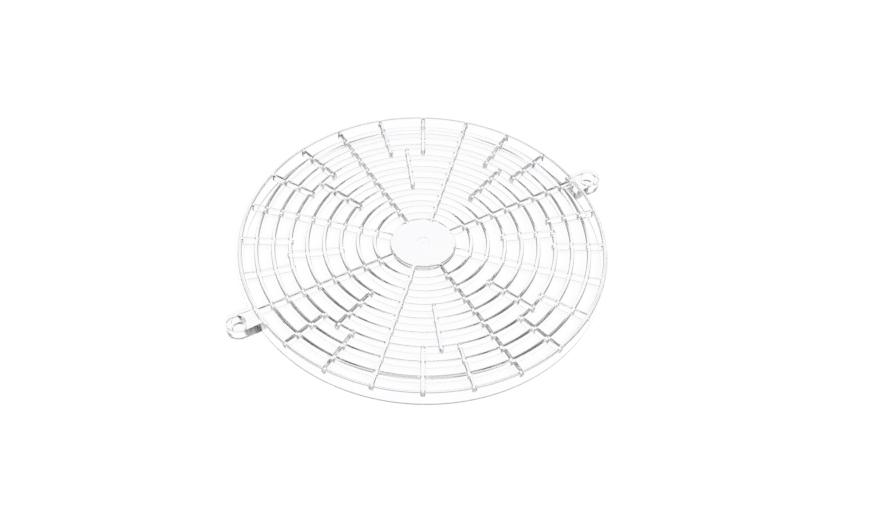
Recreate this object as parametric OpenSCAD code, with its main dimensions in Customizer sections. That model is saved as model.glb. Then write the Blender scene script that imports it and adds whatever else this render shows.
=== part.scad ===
// Fan grille, one clear moulding: a skirted rim, rings on radial ribs, a hub disc and two screw ears.
// Z = 0 is the mounting face and +Z points out of the front along the fan's axis; +X runs through an ear.

/* [Rim] */
// Outside diameter of the rim
rim_d = 148; // [120:1:180]
// Thickness of the rim's wall
rim_wall = 1.8; // [1.4:0.1:3]
// Height of the rim, from the mounting face to the front face
rim_h = 7.6; // [6.5:0.1:14]
// Chamfer on the rim's edges
rim_chamfer = 0.35; // [0.2:0.05:0.6]

/* [Bars] */
// Depth of the rings, the ribs and the hub behind the front face
bar_h = 3.5; // [2.4:0.1:4.5]

/* [Rings] */
// Number of rings between the hub and the rim
ring_count = 8; // [7:1:9]
// Width of a ring
ring_w = 1.75; // [1.5:0.05:2.2]
// Chamfer on the edges of the rings and the hub
ring_chamfer = 0.4; // [0.2:0.05:0.6]
// Open gap between the rim and the outermost ring
rim_gap = 4.7; // [3.5:0.1:7]
// Open gap between the hub and the innermost ring
hub_gap = 5.2; // [3.5:0.1:7]

/* [Ribs] */
// Number of full ribs, which run from the hub to the rim
rib_count = 8; // [6:2:10]
// Width of a rib
rib_w = 1.85; // [1.5:0.05:2.4]
// Chamfer on the long edges of the ribs
rib_chamfer = 0.5; // [0.2:0.05:0.6]
// Ring, counted from the rim, where the short outer ribs end and the short inner ribs start
outer_stop = 3; // [2:1:4]
// Ring, counted from the rim, where the short inner ribs end
inner_stop = 6; // [5:1:6]
// How far a short rib's round end stands past the middle of its ring
overrun = 1.3; // [1.15:0.05:1.8]

/* [Hub] */
// Diameter of the hub disc
hub_d = 26.6; // [20:0.2:32]
// Diameter of the shallow dish in the hub's front
dish_d = 5.2; // [4:0.1:8]
// Depth of the dish
dish_h = 0.35; // [0.2:0.05:0.6]
// Diameter of the gate's stub in the dish
stub_d = 1.5; // [1:0.1:2.5]

/* [Ears] */
// Distance between the two screw holes
hole_span = 162; // [160:1:196]
// Diameter of the screw holes
hole_d = 5.4; // [3.5:0.1:6.5]
// Width of an ear, which its round end keeps
ear_w = 9.8; // [9:0.1:13]
// Thickness of an ear, up from the mounting face
ear_t = 5; // [3:0.1:6]

/* [Hidden] */
$fn = 32;
ring_fn = 180;
rim_r = rim_d / 2;
bore_r = rim_r - rim_wall;
hub_r = hub_d / 2;
bar_z = rim_h - bar_h;
// Centre lines of the outermost and innermost rings, with the others spaced evenly between
ring_out_r = bore_r - rim_gap - ring_w / 2;
ring_in_r = hub_r + hub_gap + ring_w / 2;
ring_pitch = (ring_out_r - ring_in_r) / (ring_count - 1);
rib_step = 360 / rib_count;
// Ribs and ears run to the middle of the rim's wall
wall_mid_r = bore_r + rim_wall / 2;
// The dish is a cap of this ball
dish_ball_r = (pow(dish_d / 2, 2) + pow(dish_h, 2)) / (2 * dish_h);
hole_at = hole_span / 2;
// How far cutting tools run past the face they cut
cut_over = 1;

function ring_r(k) = ring_out_r - (k - 1) * ring_pitch;

// Upright section about the Y axis, from height z up to the front face, with its four edges chamfered by c
module edged_section(w, z, c) {
  half_w = w / 2;
  flat_w = half_w - c;
  polygon([
    [-flat_w, z], [flat_w, z], [half_w, z + c], [half_w, rim_h - c],
    [flat_w, rim_h], [-flat_w, rim_h], [-half_w, rim_h - c], [-half_w, z + c]
  ]);
}

module rim() {
  rotate_extrude($fn = ring_fn) translate([wall_mid_r, 0]) edged_section(rim_wall, 0, rim_chamfer);
}

module ring(k) {
  rotate_extrude($fn = ring_fn) translate([ring_r(k), 0]) edged_section(ring_w, bar_z, ring_chamfer);
}

module hub() {
  difference() {
    rotate_extrude($fn = ring_fn) intersection() {
      edged_section(hub_d, bar_z, ring_chamfer);
      square([hub_d, rim_h]);
    }
    translate([0, 0, rim_h - dish_h + dish_ball_r]) sphere(r = dish_ball_r, $fn = ring_fn);
  }
  translate([0, 0, rim_h - bar_h / 2]) cylinder(h = bar_h / 2, d = stub_d);
}

// A straight length of rib along +X
module rib(r_in, r_out) {
  translate([r_in, 0, 0]) rotate([90, 0, 90])
    linear_extrude(r_out - r_in) edged_section(rib_w, bar_z, rib_chamfer);
}

// Plan of a rib with round ends, their tips at two radii
module round_ended(tip_in, tip_out) {
  for (x = [tip_in + rib_w / 2, tip_out - rib_w / 2]) translate([x, 0]) circle(d = rib_w);
  translate([tip_in + rib_w / 2, -rib_w / 2]) square([tip_out - tip_in - rib_w, rib_w]);
}

module full_rib() {
  rib(hub_r - rib_w, wall_mid_r);
}

module outer_rib() {
  tip = ring_r(outer_stop) - overrun;
  intersection() {
    rib(tip, wall_mid_r);
    linear_extrude(rim_h) round_ended(tip, wall_mid_r + rib_w);
  }
}

module inner_rib() {
  tip_in = ring_r(inner_stop) - overrun;
  tip_out = ring_r(outer_stop) + overrun;
  intersection() {
    rib(tip_in, tip_out);
    linear_extrude(rim_h) round_ended(tip_in, tip_out);
  }
}

module ear() {
  difference() {
    union() {
      translate([wall_mid_r, -ear_w / 2, 0]) cube([hole_at - wall_mid_r, ear_w, ear_t]);
      translate([hole_at, 0, 0]) cylinder(h = ear_t, d = ear_w);
    }
    translate([hole_at, 0, -cut_over]) cylinder(h = ear_t + 2 * cut_over, d = hole_d);
  }
}

module fan_grille() {
  color("white", 0.35) {
    rim();
    hub();
    for (k = [1 : ring_count]) ring(k);
    for (i = [0 : rib_count - 1]) rotate([0, 0, i * rib_step]) {
      full_rib();
      for (third = [1, 2]) rotate([0, 0, third * rib_step / 3]) outer_rib();
      rotate([0, 0, rib_step / 2]) inner_rib();
    }
    for (a = [0, 180]) rotate([0, 0, a]) ear();
  }
}

fan_grille();
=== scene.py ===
import math

import bpy
from mathutils import Matrix, Vector


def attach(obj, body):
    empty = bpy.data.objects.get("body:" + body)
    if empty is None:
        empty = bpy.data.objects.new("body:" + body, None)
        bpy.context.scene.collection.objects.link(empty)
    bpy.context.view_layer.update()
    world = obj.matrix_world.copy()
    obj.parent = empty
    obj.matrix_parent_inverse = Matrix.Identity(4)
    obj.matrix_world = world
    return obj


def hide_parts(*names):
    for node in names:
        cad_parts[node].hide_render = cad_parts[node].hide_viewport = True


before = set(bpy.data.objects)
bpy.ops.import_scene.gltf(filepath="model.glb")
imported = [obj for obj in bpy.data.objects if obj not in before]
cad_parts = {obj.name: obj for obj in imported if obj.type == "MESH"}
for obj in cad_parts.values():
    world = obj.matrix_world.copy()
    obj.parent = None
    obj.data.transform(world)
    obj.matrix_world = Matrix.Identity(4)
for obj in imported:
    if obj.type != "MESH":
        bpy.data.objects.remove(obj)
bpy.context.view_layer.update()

# Rim: the outer hoop of the guard, with a skirt that stands on the fan's frame.
# It is clear plastic, moulded in one shot with everything else here.
# Its front edges are round, and those of its foot are nearly sharp.
MM = 0.001
FRONT_Z = 7.6 * MM
RIM_R = 73.99 * MM
RIM_WALL = 1.8 * MM
RIM_MID_R = RIM_R - RIM_WALL / 2
RIM_EDGE = 0.87 * MM
FOOT_EDGE = 0.25 * MM
QUARTER_TURN = 90
EDGE_STEPS = 6
FOOT_STEPS = 3
RIM_STEPS = 240
MERGE_GAP = 0.001 * MM


def start_fresh():
    """Leaves object mode with nothing selected, so that the next operator acts on its own piece alone."""
    if bpy.context.object and bpy.context.object.mode != "OBJECT":
        bpy.ops.object.mode_set(mode="OBJECT")
    bpy.ops.object.select_all(action="DESELECT")


def start_outline(name, x, z):
    """Starts an outline on the XZ plane: a small plane shrunk to one vertex, where the strokes start."""
    start_fresh()
    bpy.ops.mesh.primitive_plane_add(size=MM)
    outline = bpy.context.object
    outline.name = name
    bpy.ops.object.mode_set(mode="EDIT")
    bpy.ops.mesh.select_all(action="SELECT")
    bpy.ops.mesh.merge(type="CENTER")
    bpy.ops.transform.translate(value=(x, 0, z))
    return outline


def draw_to(x, z):
    """Draws a straight stroke from the end of the outline, which is the vertex that is selected."""
    bpy.context.object.update_from_editmode()
    end = next(v.co for v in bpy.context.object.data.vertices if v.select)
    bpy.ops.mesh.extrude_region_move(TRANSFORM_OT_translate={"value": (x - end.x, 0, z - end.z)})


def draw_arc(x, z, degrees, steps):
    """Draws an arc from the end of the outline round a centre, turning from +Z towards +X."""
    bpy.ops.mesh.spin(steps=steps, angle=math.radians(degrees), center=(x, 0, z), axis=(0, -1, 0))


def draw_bar(x_in, x_out, low, high, top_edge, foot_edge, top_steps, foot_steps):
    """Draws the rest of an upright bar's outline, clockwise from the middle of its top, corners rounded."""
    draw_to(x_out - top_edge, high)
    draw_arc(x_out - top_edge, high - top_edge, QUARTER_TURN, top_steps)
    draw_to(x_out, low + foot_edge)
    draw_arc(x_out - foot_edge, low + foot_edge, QUARTER_TURN, foot_steps)
    draw_to(x_in + foot_edge, low)
    draw_arc(x_in + foot_edge, low + foot_edge, QUARTER_TURN, foot_steps)
    draw_to(x_in, high - top_edge)
    draw_arc(x_in + top_edge, high - top_edge, QUARTER_TURN, top_steps)
    draw_to((x_in + x_out) / 2, high)


def turn_outline(x, steps):
    """Spins the outline in hand round the upright line at x into a closed solid that faces outwards."""
    bpy.ops.mesh.select_all(action="SELECT")
    bpy.ops.mesh.remove_doubles(threshold=MERGE_GAP)
    bpy.ops.mesh.spin(steps=steps, angle=2 * math.pi, center=(x, 0, 0), axis=(0, 0, 1))
    bpy.ops.mesh.select_all(action="SELECT")
    bpy.ops.mesh.remove_doubles(threshold=MERGE_GAP)
    bpy.ops.mesh.normals_make_consistent(inside=False)
    bpy.ops.object.mode_set(mode="OBJECT")


rim = start_outline("rim", RIM_MID_R, FRONT_Z)
draw_bar(RIM_R - RIM_WALL, RIM_R, 0, FRONT_Z, RIM_EDGE, FOOT_EDGE, EDGE_STEPS, FOOT_STEPS)
turn_outline(0, RIM_STEPS)

# Rings: eight hoops of one section, evenly spaced from the rim to the hub, that keep fingers out.
# They are clear bars, flush with the front face and open behind.
# Their round corners are deeper than wide and leave only a narrow flat between them.
RING_COUNT = 8
RING_W = 1.75 * MM
RING_EDGE = 0.72 * MM
BAR_H = 3.5 * MM
BAR_Z = FRONT_Z - BAR_H
BAR_STRETCH = 1.3
SQUAT_H = BAR_H / BAR_STRETCH
RIM_GAP = 4.7 * MM
HUB_GAP = 5.2 * MM
HUB_R = 13.3 * MM
RING_OUT_R = RIM_R - RIM_WALL - RIM_GAP - RING_W / 2
RING_IN_R = HUB_R + HUB_GAP + RING_W / 2
RING_PITCH = (RING_OUT_R - RING_IN_R) / (RING_COUNT - 1)
LARGE_RINGS = 4
LARGE_RING_STEPS = 180
SMALL_RING_STEPS = 120


def ring_radius(k):
    """Radius of a ring's centre line, counted from 1 at the rim."""
    return RING_OUT_R - (k - 1) * RING_PITCH


def stretch_up():
    """Stretches a bar drawn squat on the ground to its depth, with its corners, and lifts it in place."""
    bpy.ops.mesh.select_all(action="SELECT")
    bpy.ops.transform.resize(value=(1, 1, BAR_STRETCH), center_override=(0, 0, 0))
    bpy.ops.transform.translate(value=(0, 0, BAR_Z))


rings = []
for k in range(1, RING_COUNT + 1):
    mid_r = ring_radius(k)
    ring = start_outline(f"ring_{k}", mid_r, SQUAT_H)
    draw_bar(
        mid_r - RING_W / 2, mid_r + RING_W / 2, 0, SQUAT_H,
        RING_EDGE, RING_EDGE, EDGE_STEPS, EDGE_STEPS,
    )
    stretch_up()
    turn_outline(0, LARGE_RING_STEPS if k <= LARGE_RINGS else SMALL_RING_STEPS)
    rings.append(ring)

# Hub: the solid clear disc in the middle, as deep as the rings, with round edges.
# The melt enters the mould here, so its front has a shallow dish with the low dome of the trimmed gate.
HUB_EDGE = 1.25 * MM
HUB_STEPS = 96
DISH_R = 2.4 * MM
DISH_H = 0.3 * MM
DISH_Z = FRONT_Z - DISH_H
COVE_R = 0.33 * MM
COVE_TURN = math.acos(1 - DISH_H / COVE_R)
COVE_X = DISH_R - COVE_R * math.sin(COVE_TURN)
DOME_R = 0.6 * MM
DOME_H = 0.3 * MM
DOME_BALL_R = (DOME_R**2 + DOME_H**2) / (2 * DOME_H)
DOME_TURN = math.asin(DOME_R / DOME_BALL_R)
DOME_STEPS = 5
hub = start_outline("hub", 0, DISH_Z + DOME_H)
draw_arc(0, DISH_Z + DOME_H - DOME_BALL_R, math.degrees(DOME_TURN), DOME_STEPS)
draw_to(COVE_X, DISH_Z)
draw_arc(COVE_X, DISH_Z + COVE_R, -math.degrees(COVE_TURN), EDGE_STEPS)
draw_to(HUB_R - HUB_EDGE, FRONT_Z)
draw_arc(HUB_R - HUB_EDGE, FRONT_Z - HUB_EDGE, QUARTER_TURN, EDGE_STEPS)
draw_to(HUB_R, BAR_Z + HUB_EDGE)
draw_arc(HUB_R - HUB_EDGE, BAR_Z + HUB_EDGE, QUARTER_TURN, EDGE_STEPS)
draw_to(0, BAR_Z)
turn_outline(0, HUB_STEPS)

# Ribs: straight clear bars that tie the rings together, as deep as the rings, a little wider and rounder.
# Eight run from the hub into the rim's wall.
# Short ones with round ends brace the outer three rings and the middle four.
RIB_COUNT = 8
RIB_STEP = 360 / RIB_COUNT
RIB_W = 1.85 * MM
RIB_EDGE = 0.82 * MM
RIB_SIDES = 24
OUTER_STOP = 3
INNER_STOP = 6
OVERRUN = 1.3 * MM
HUB_BITE = 1.3 * MM
RIM_COVER = 0.3 * MM
RIM_TIP_R = RIM_R - RIM_COVER
LEVEL_GAP = 0.01 * MM


def add_drum(name, x, width, height, sides):
    """Adds an upright drum on the ground at x, as wide as given between its flat sides."""
    half_side = math.pi / sides
    start_fresh()
    bpy.ops.mesh.primitive_cylinder_add(
        vertices=sides, radius=width / 2 / math.cos(half_side), depth=height,
        location=(x, 0, height / 2), rotation=(0, 0, half_side),
    )
    drum = bpy.context.object
    drum.name = name
    bpy.ops.object.transform_apply(location=True, rotation=True)
    return drum


def start_picking(kind):
    """Gets ready to pick vertices or edges in code, with none picked yet."""
    bpy.ops.object.mode_set(mode="EDIT")
    bpy.ops.mesh.select_mode(type=kind)
    bpy.ops.mesh.select_all(action="DESELECT")
    bpy.ops.object.mode_set(mode="OBJECT")


def pick_half(piece, x, side):
    """Picks the vertices on one side of x: 1 for those beyond it, -1 for those before it."""
    start_picking("VERT")
    for v in piece.data.vertices:
        v.select = (v.co.x - x) * side > 0
    bpy.ops.object.mode_set(mode="EDIT")


def round_level_edges(piece, edge, steps):
    """Rounds the edges that lie level, which are those of a drum's top and foot."""
    start_picking("EDGE")
    for e in piece.data.edges:
        a, b = (piece.data.vertices[i].co.z for i in e.vertices)
        e.select = abs(a - b) < LEVEL_GAP
    bpy.ops.object.mode_set(mode="EDIT")
    bpy.ops.mesh.bevel(offset=edge, segments=steps, affect="EDGES")


def rib_bar(name, tip_in, tip_out):
    """A bar with round ends between two radii: a squat drum, pulled lengthways, rounded and stretched."""
    drum_x = tip_in + RIB_W / 2
    bar = add_drum(name, drum_x, RIB_W, SQUAT_H, RIB_SIDES)
    pick_half(bar, drum_x, 1)
    bpy.ops.transform.translate(value=(tip_out - tip_in - RIB_W, 0, 0))
    round_level_edges(bar, RIB_EDGE, EDGE_STEPS)
    stretch_up()
    bpy.ops.object.mode_set(mode="OBJECT")
    return bar


def copies_round(pattern, angles):
    """Copies a piece round the fan's axis to the given angles in degrees, and takes the pattern away."""
    copies = []
    for degrees in angles:
        start_fresh()
        pattern.select_set(True)
        bpy.context.view_layer.objects.active = pattern
        bpy.ops.object.duplicate()
        copy = bpy.context.object
        copy.rotation_euler.z = math.radians(degrees)
        bpy.ops.object.transform_apply(rotation=True)
        copies.append(copy)
    bpy.data.meshes.remove(pattern.data)
    return copies


full_rib = rib_bar("full_rib", HUB_R - HUB_BITE, RIM_TIP_R)
outer_rib = rib_bar("outer_rib", ring_radius(OUTER_STOP) - OVERRUN, RIM_TIP_R)
inner_rib = rib_bar("inner_rib", ring_radius(INNER_STOP) - OVERRUN, ring_radius(OUTER_STOP) + OVERRUN)
ribs = copies_round(full_rib, [i * RIB_STEP for i in range(RIB_COUNT)])
ribs += copies_round(outer_rib, [(i + third / 3) * RIB_STEP for i in range(RIB_COUNT) for third in (1, 2)])
ribs += copies_round(inner_rib, [(i + 1 / 2) * RIB_STEP for i in range(RIB_COUNT)])

# Ears: two clear lugs with round ends for the screws, opposite each other and level with the skirt's foot.
# They grow out of the rim's wall below the front face, and a plain hole goes through each.
HOLE_AT = 81 * MM
HOLE_R = 2.7 * MM
HOLE_EDGE = 0.2 * MM
HOLE_EDGE_STEPS = 3
HOLE_STEPS = 48
EAR_W = 9.77 * MM
EAR_T = 5 * MM
EAR_EDGE = 0.3 * MM
EAR_EDGE_STEPS = 4
EAR_SIDES = 64
DRILL_OVER = 1 * MM
DRILL_TOP = EAR_T + DRILL_OVER
DRILL_WALL_X = HOLE_AT + HOLE_R
DRILL_MOUTH_X = DRILL_WALL_X + HOLE_EDGE


def combine(base, tool, operation):
    """Cuts a piece with a tool or fuses the two, and takes the tool away."""
    start_fresh()
    change = base.modifiers.new("combine", "BOOLEAN")
    change.operation = operation
    change.solver = "MANIFOLD"
    change.object = tool
    bpy.context.view_layer.objects.active = base
    bpy.ops.object.modifier_apply(modifier=change.name)
    bpy.data.meshes.remove(tool.data)


ear = add_drum("ear", HOLE_AT, EAR_W, EAR_T, EAR_SIDES)
round_level_edges(ear, EAR_EDGE, EAR_EDGE_STEPS)
pick_half(ear, HOLE_AT, -1)
bpy.ops.transform.resize(value=(0, 1, 1), center_override=(RIM_MID_R, 0, 0))
bpy.ops.object.mode_set(mode="OBJECT")

drill = start_outline("drill", HOLE_AT, DRILL_TOP)
draw_to(DRILL_MOUTH_X, DRILL_TOP)
draw_to(DRILL_MOUTH_X, EAR_T)
draw_arc(DRILL_MOUTH_X, EAR_T - HOLE_EDGE, -QUARTER_TURN, HOLE_EDGE_STEPS)
draw_to(DRILL_WALL_X, HOLE_EDGE)
draw_arc(DRILL_MOUTH_X, HOLE_EDGE, -QUARTER_TURN, HOLE_EDGE_STEPS)
draw_to(DRILL_MOUTH_X, -DRILL_OVER)
draw_to(HOLE_AT, -DRILL_OVER)
turn_outline(HOLE_AT, HOLE_STEPS)
combine(ear, drill, "DIFFERENCE")
ears = copies_round(ear, (0, 180))

# The whole moulding: rim, rings, hub, ribs and ears run into one another as one solid of clear plastic.
# Light bends through its round edges, so they are fused into one skin with nothing left inside.
SMOOTH_ANGLE = math.radians(30)


def gather(pieces):
    """Joins pieces that don't meet into one mesh."""
    start_fresh()
    for piece in pieces:
        piece.select_set(True)
    bpy.context.view_layer.objects.active = pieces[0]
    bpy.ops.object.join()
    return pieces[0]


grille = gather([rim, *rings, hub])
grille.name = "fan_grille_clear"
combine(grille, gather(ribs), "UNION")
combine(grille, gather(ears), "UNION")
grille.select_set(True)
bpy.ops.object.shade_smooth_by_angle(angle=SMOOTH_ANGLE)

# The plastic is water-clear with a faint cool cast, and polished by the mould.
# The flow of the melt leaves a cloudy cast, a slight haze and slow shallow waves in the skin.
# Its face-on reflection is set low for likeness, so that the hub looks nearly as white as the sheet.
PLASTIC_IOR = 1.555
FACE_ON_TINT = (0.3, 0.3, 0.3, 1)
CAST_SCALE = 40
CAST_DETAIL = 2
CAST_SPREAD = (0.3, 0.7)
CAST_TINTS = ((0.98, 0.982, 1, 1), (0.992, 0.993, 1, 1))
HAZE_SCALE = 260
HAZE_DETAIL = 4
HAZE_SPREAD = (0.35, 0.7)
HAZE_ROUGHNESS = (0, 0.035)
WAVE_SCALE = 120
WAVE_DETAIL = 1
WAVE_STRENGTH = 0.12
WAVE_DEPTH = 0.02 * MM
plastic = bpy.data.materials.new("clear_plastic")
plastic.use_nodes = True
nodes, links = plastic.node_tree.nodes, plastic.node_tree.links
skin = nodes["Principled BSDF"]
skin.inputs["Transmission Weight"].default_value = 1
skin.inputs["IOR"].default_value = PLASTIC_IOR
skin.inputs["Specular Tint"].default_value = FACE_ON_TINT
place = nodes.new("ShaderNodeTexCoord")


def clouds(scale, detail):
    """A cloudy pattern that stays with the part, as the flow of the melt leaves it."""
    noise = nodes.new("ShaderNodeTexNoise")
    noise.inputs["Scale"].default_value = scale
    noise.inputs["Detail"].default_value = detail
    links.new(place.outputs["Object"], noise.inputs["Vector"])
    return noise.outputs["Fac"]


cast = nodes.new("ShaderNodeValToRGB")
for stop, position, tint in zip(cast.color_ramp.elements, CAST_SPREAD, CAST_TINTS):
    stop.position = position
    stop.color = tint
links.new(clouds(CAST_SCALE, CAST_DETAIL), cast.inputs["Fac"])
links.new(cast.outputs["Color"], skin.inputs["Base Color"])

haze = nodes.new("ShaderNodeMapRange")
haze.inputs["From Min"].default_value = HAZE_SPREAD[0]
haze.inputs["From Max"].default_value = HAZE_SPREAD[1]
haze.inputs["To Min"].default_value = HAZE_ROUGHNESS[0]
haze.inputs["To Max"].default_value = HAZE_ROUGHNESS[1]
links.new(clouds(HAZE_SCALE, HAZE_DETAIL), haze.inputs["Value"])
links.new(haze.outputs["Result"], skin.inputs["Roughness"])

waves = nodes.new("ShaderNodeBump")
waves.inputs["Strength"].default_value = WAVE_STRENGTH
waves.inputs["Distance"].default_value = WAVE_DEPTH
links.new(clouds(WAVE_SCALE, WAVE_DETAIL), waves.inputs["Height"])
links.new(waves.outputs["Normal"], skin.inputs["Normal"])

grille.data.materials.clear()
grille.data.materials.append(plastic)
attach(grille, "root")
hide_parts("fan_grille")

# Table: a plain white sheet just under the part, which the camera and the plastic both see as white.
# To the camera a small share of it stays matt, so that the part's soft shadow shows on it.
TABLE_SIZE = 6
TABLE_DROP = 0.1 * MM
TABLE_GLOW = 0.92
SHEET_WHITE = (1, 1, 1, 1)
SHEET_MATT = (0.9, 0.9, 0.9, 1)
start_fresh()
bpy.ops.mesh.primitive_plane_add(size=TABLE_SIZE, location=(0, 0, -TABLE_DROP))
table = bpy.context.object
table.name = "table"
sheet = bpy.data.materials.new("white_sheet")
sheet.use_nodes = True
nodes, links = sheet.node_tree.nodes, sheet.node_tree.links
nodes.clear()
sheet_out = nodes.new("ShaderNodeOutputMaterial")
matt = nodes.new("ShaderNodeBsdfDiffuse")
matt.inputs["Color"].default_value = SHEET_MATT
glow = nodes.new("ShaderNodeEmission")
glow.inputs["Color"].default_value = SHEET_WHITE
glow.inputs["Strength"].default_value = 1
rays = nodes.new("ShaderNodeLightPath")
seen = nodes.new("ShaderNodeMath")
seen.operation = "MULTIPLY"
seen.inputs[1].default_value = TABLE_GLOW
mirrored = nodes.new("ShaderNodeMath")
mirrored.operation = "MAXIMUM"
white_share = nodes.new("ShaderNodeMath")
white_share.operation = "MAXIMUM"
blend = nodes.new("ShaderNodeMixShader")
links.new(rays.outputs["Is Camera Ray"], seen.inputs[0])
links.new(rays.outputs["Is Glossy Ray"], mirrored.inputs[0])
links.new(rays.outputs["Is Transmission Ray"], mirrored.inputs[1])
links.new(seen.outputs["Value"], white_share.inputs[0])
links.new(mirrored.outputs["Value"], white_share.inputs[1])
links.new(white_share.outputs["Value"], blend.inputs["Fac"])
links.new(matt.outputs["BSDF"], blend.inputs[1])
links.new(glow.outputs["Emission"], blend.inputs[2])
links.new(blend.outputs["Shader"], sheet_out.inputs["Surface"])
table.data.materials.append(sheet)

# Studio: a dim room with one wide soft light over the camera's right shoulder and a white sweep behind.
# The plastic picks up the dim room as its dark lines.
# A soft lamp in the light's place, which the plastic doesn't mirror, gives the part its shadow.
VIEW_AZ = math.radians(-31.69)
VIEW_EL = math.radians(48.119)
ROOM_BY_CAMERA = 0.04
ROOM_BY_SWEEP = 0.01
LIGHT_TURN = math.radians(13)
LIGHT_EL = math.radians(56)
LIGHT_FADE = (0.54, 0.64)
LIGHT_LEVEL = 0.45
SWEEP_EL = math.radians(9)
SWEEP_FADE = (0.39, 1.42)
SWEEP_LEVEL = 1
LAMP_FAR = 1.5
LAMP_SIZE = 1.0
LAMP_WATTS = 30


def look_from(turn, elevation):
    """Direction from the part, turned to the right from the camera's side, at an elevation."""
    side = VIEW_AZ + turn
    reach = math.cos(elevation)
    return Vector((math.sin(side) * reach, -math.cos(side) * reach, math.sin(elevation)))


to_light = look_from(LIGHT_TURN, LIGHT_EL)
to_sweep = look_from(math.pi, SWEEP_EL)
world = bpy.data.worlds.new("studio")
bpy.context.scene.world = world
world.use_nodes = True
nodes, links = world.node_tree.nodes, world.node_tree.links
nodes.clear()
world_out = nodes.new("ShaderNodeOutputWorld")
backdrop = nodes.new("ShaderNodeBackground")
way = nodes.new("ShaderNodeTexCoord")


def facing(target):
    """How far the direction of a ray faces a target, from -1 to 1."""
    face = nodes.new("ShaderNodeVectorMath")
    face.operation = "DOT_PRODUCT"
    face.inputs[1].default_value = target
    links.new(way.outputs["Generated"], face.inputs[0])
    return face.outputs["Value"]


def fade(value, low, high, at_low, at_high):
    """A smooth fade from one level to another as a value rises."""
    ramp = nodes.new("ShaderNodeMapRange")
    ramp.interpolation_type = "SMOOTHSTEP"
    for name, number in (("From Min", low), ("From Max", high), ("To Min", at_low), ("To Max", at_high)):
        ramp.inputs[name].default_value = number
    links.new(value, ramp.inputs["Value"])
    return ramp.outputs["Result"]


def lighten(level, share, target):
    """Moves a level towards a brighter one by a share."""
    mix = nodes.new("ShaderNodeMix")
    mix.inputs["B"].default_value = target
    links.new(share, mix.inputs["Factor"])
    links.new(level, mix.inputs["A"])
    return mix.outputs["Result"]


room = fade(facing(to_sweep), -1, 1, ROOM_BY_CAMERA, ROOM_BY_SWEEP)
lit_room = lighten(room, fade(facing(to_light), *LIGHT_FADE, 0, 1), LIGHT_LEVEL)
swept_room = lighten(lit_room, fade(facing(to_sweep), *SWEEP_FADE, 0, 1), SWEEP_LEVEL)
links.new(swept_room, backdrop.inputs["Color"])
links.new(backdrop.outputs["Background"], world_out.inputs["Surface"])

start_fresh()
bpy.ops.object.light_add(type="AREA", location=to_light * LAMP_FAR)
lamp = bpy.context.object
lamp.name = "soft_lamp"
lamp.rotation_euler = to_light.to_track_quat("Z", "Y").to_euler()
lamp.data.size = LAMP_SIZE
lamp.data.energy = LAMP_WATTS
lamp.visible_glossy = False
lamp.visible_transmission = False

# Camera: a long lens that looks down on the part from the front at a little under fifty degrees.
# It is rolled by about two degrees, and its shift puts the part where the photograph has it.
# Light is turned back many times inside clear bars, so it may bounce more often here than usual.
IMAGE_W = 869
FOCAL_PX = 1270.834
SHIFT_PX = (11.497, -9.865)
SENSOR_MM = 36
CAMERA_FAR = 510.44 * MM
CAMERA_NEAR = 10 * MM
AIM_Z = 6.77 * MM
ROLL = math.radians(2.307)
LIGHT_BOUNCES = 24
back = look_from(0, VIEW_EL)
level = Vector((math.cos(VIEW_AZ), math.sin(VIEW_AZ), 0))
upward = back.cross(level)
right = math.cos(ROLL) * level + math.sin(ROLL) * upward
up = math.cos(ROLL) * upward - math.sin(ROLL) * level
lens = bpy.data.cameras.new("camera")
lens.sensor_width = SENSOR_MM
lens.lens = SENSOR_MM * FOCAL_PX / IMAGE_W
lens.shift_x = SHIFT_PX[0] / IMAGE_W
lens.shift_y = SHIFT_PX[1] / IMAGE_W
lens.clip_start = CAMERA_NEAR
camera = bpy.data.objects.new("camera", lens)
bpy.context.scene.collection.objects.link(camera)
axes = Matrix((right, up, back)).transposed().to_4x4()
camera.matrix_world = Matrix.Translation(back * CAMERA_FAR + Vector((0, 0, AIM_Z))) @ axes
bpy.context.scene.camera = camera
bpy.context.scene.view_settings.view_transform = "Standard"
light_paths = bpy.context.scene.cycles
light_paths.max_bounces = LIGHT_BOUNCES
light_paths.glossy_bounces = LIGHT_BOUNCES
light_paths.transmission_bounces = LIGHT_BOUNCES
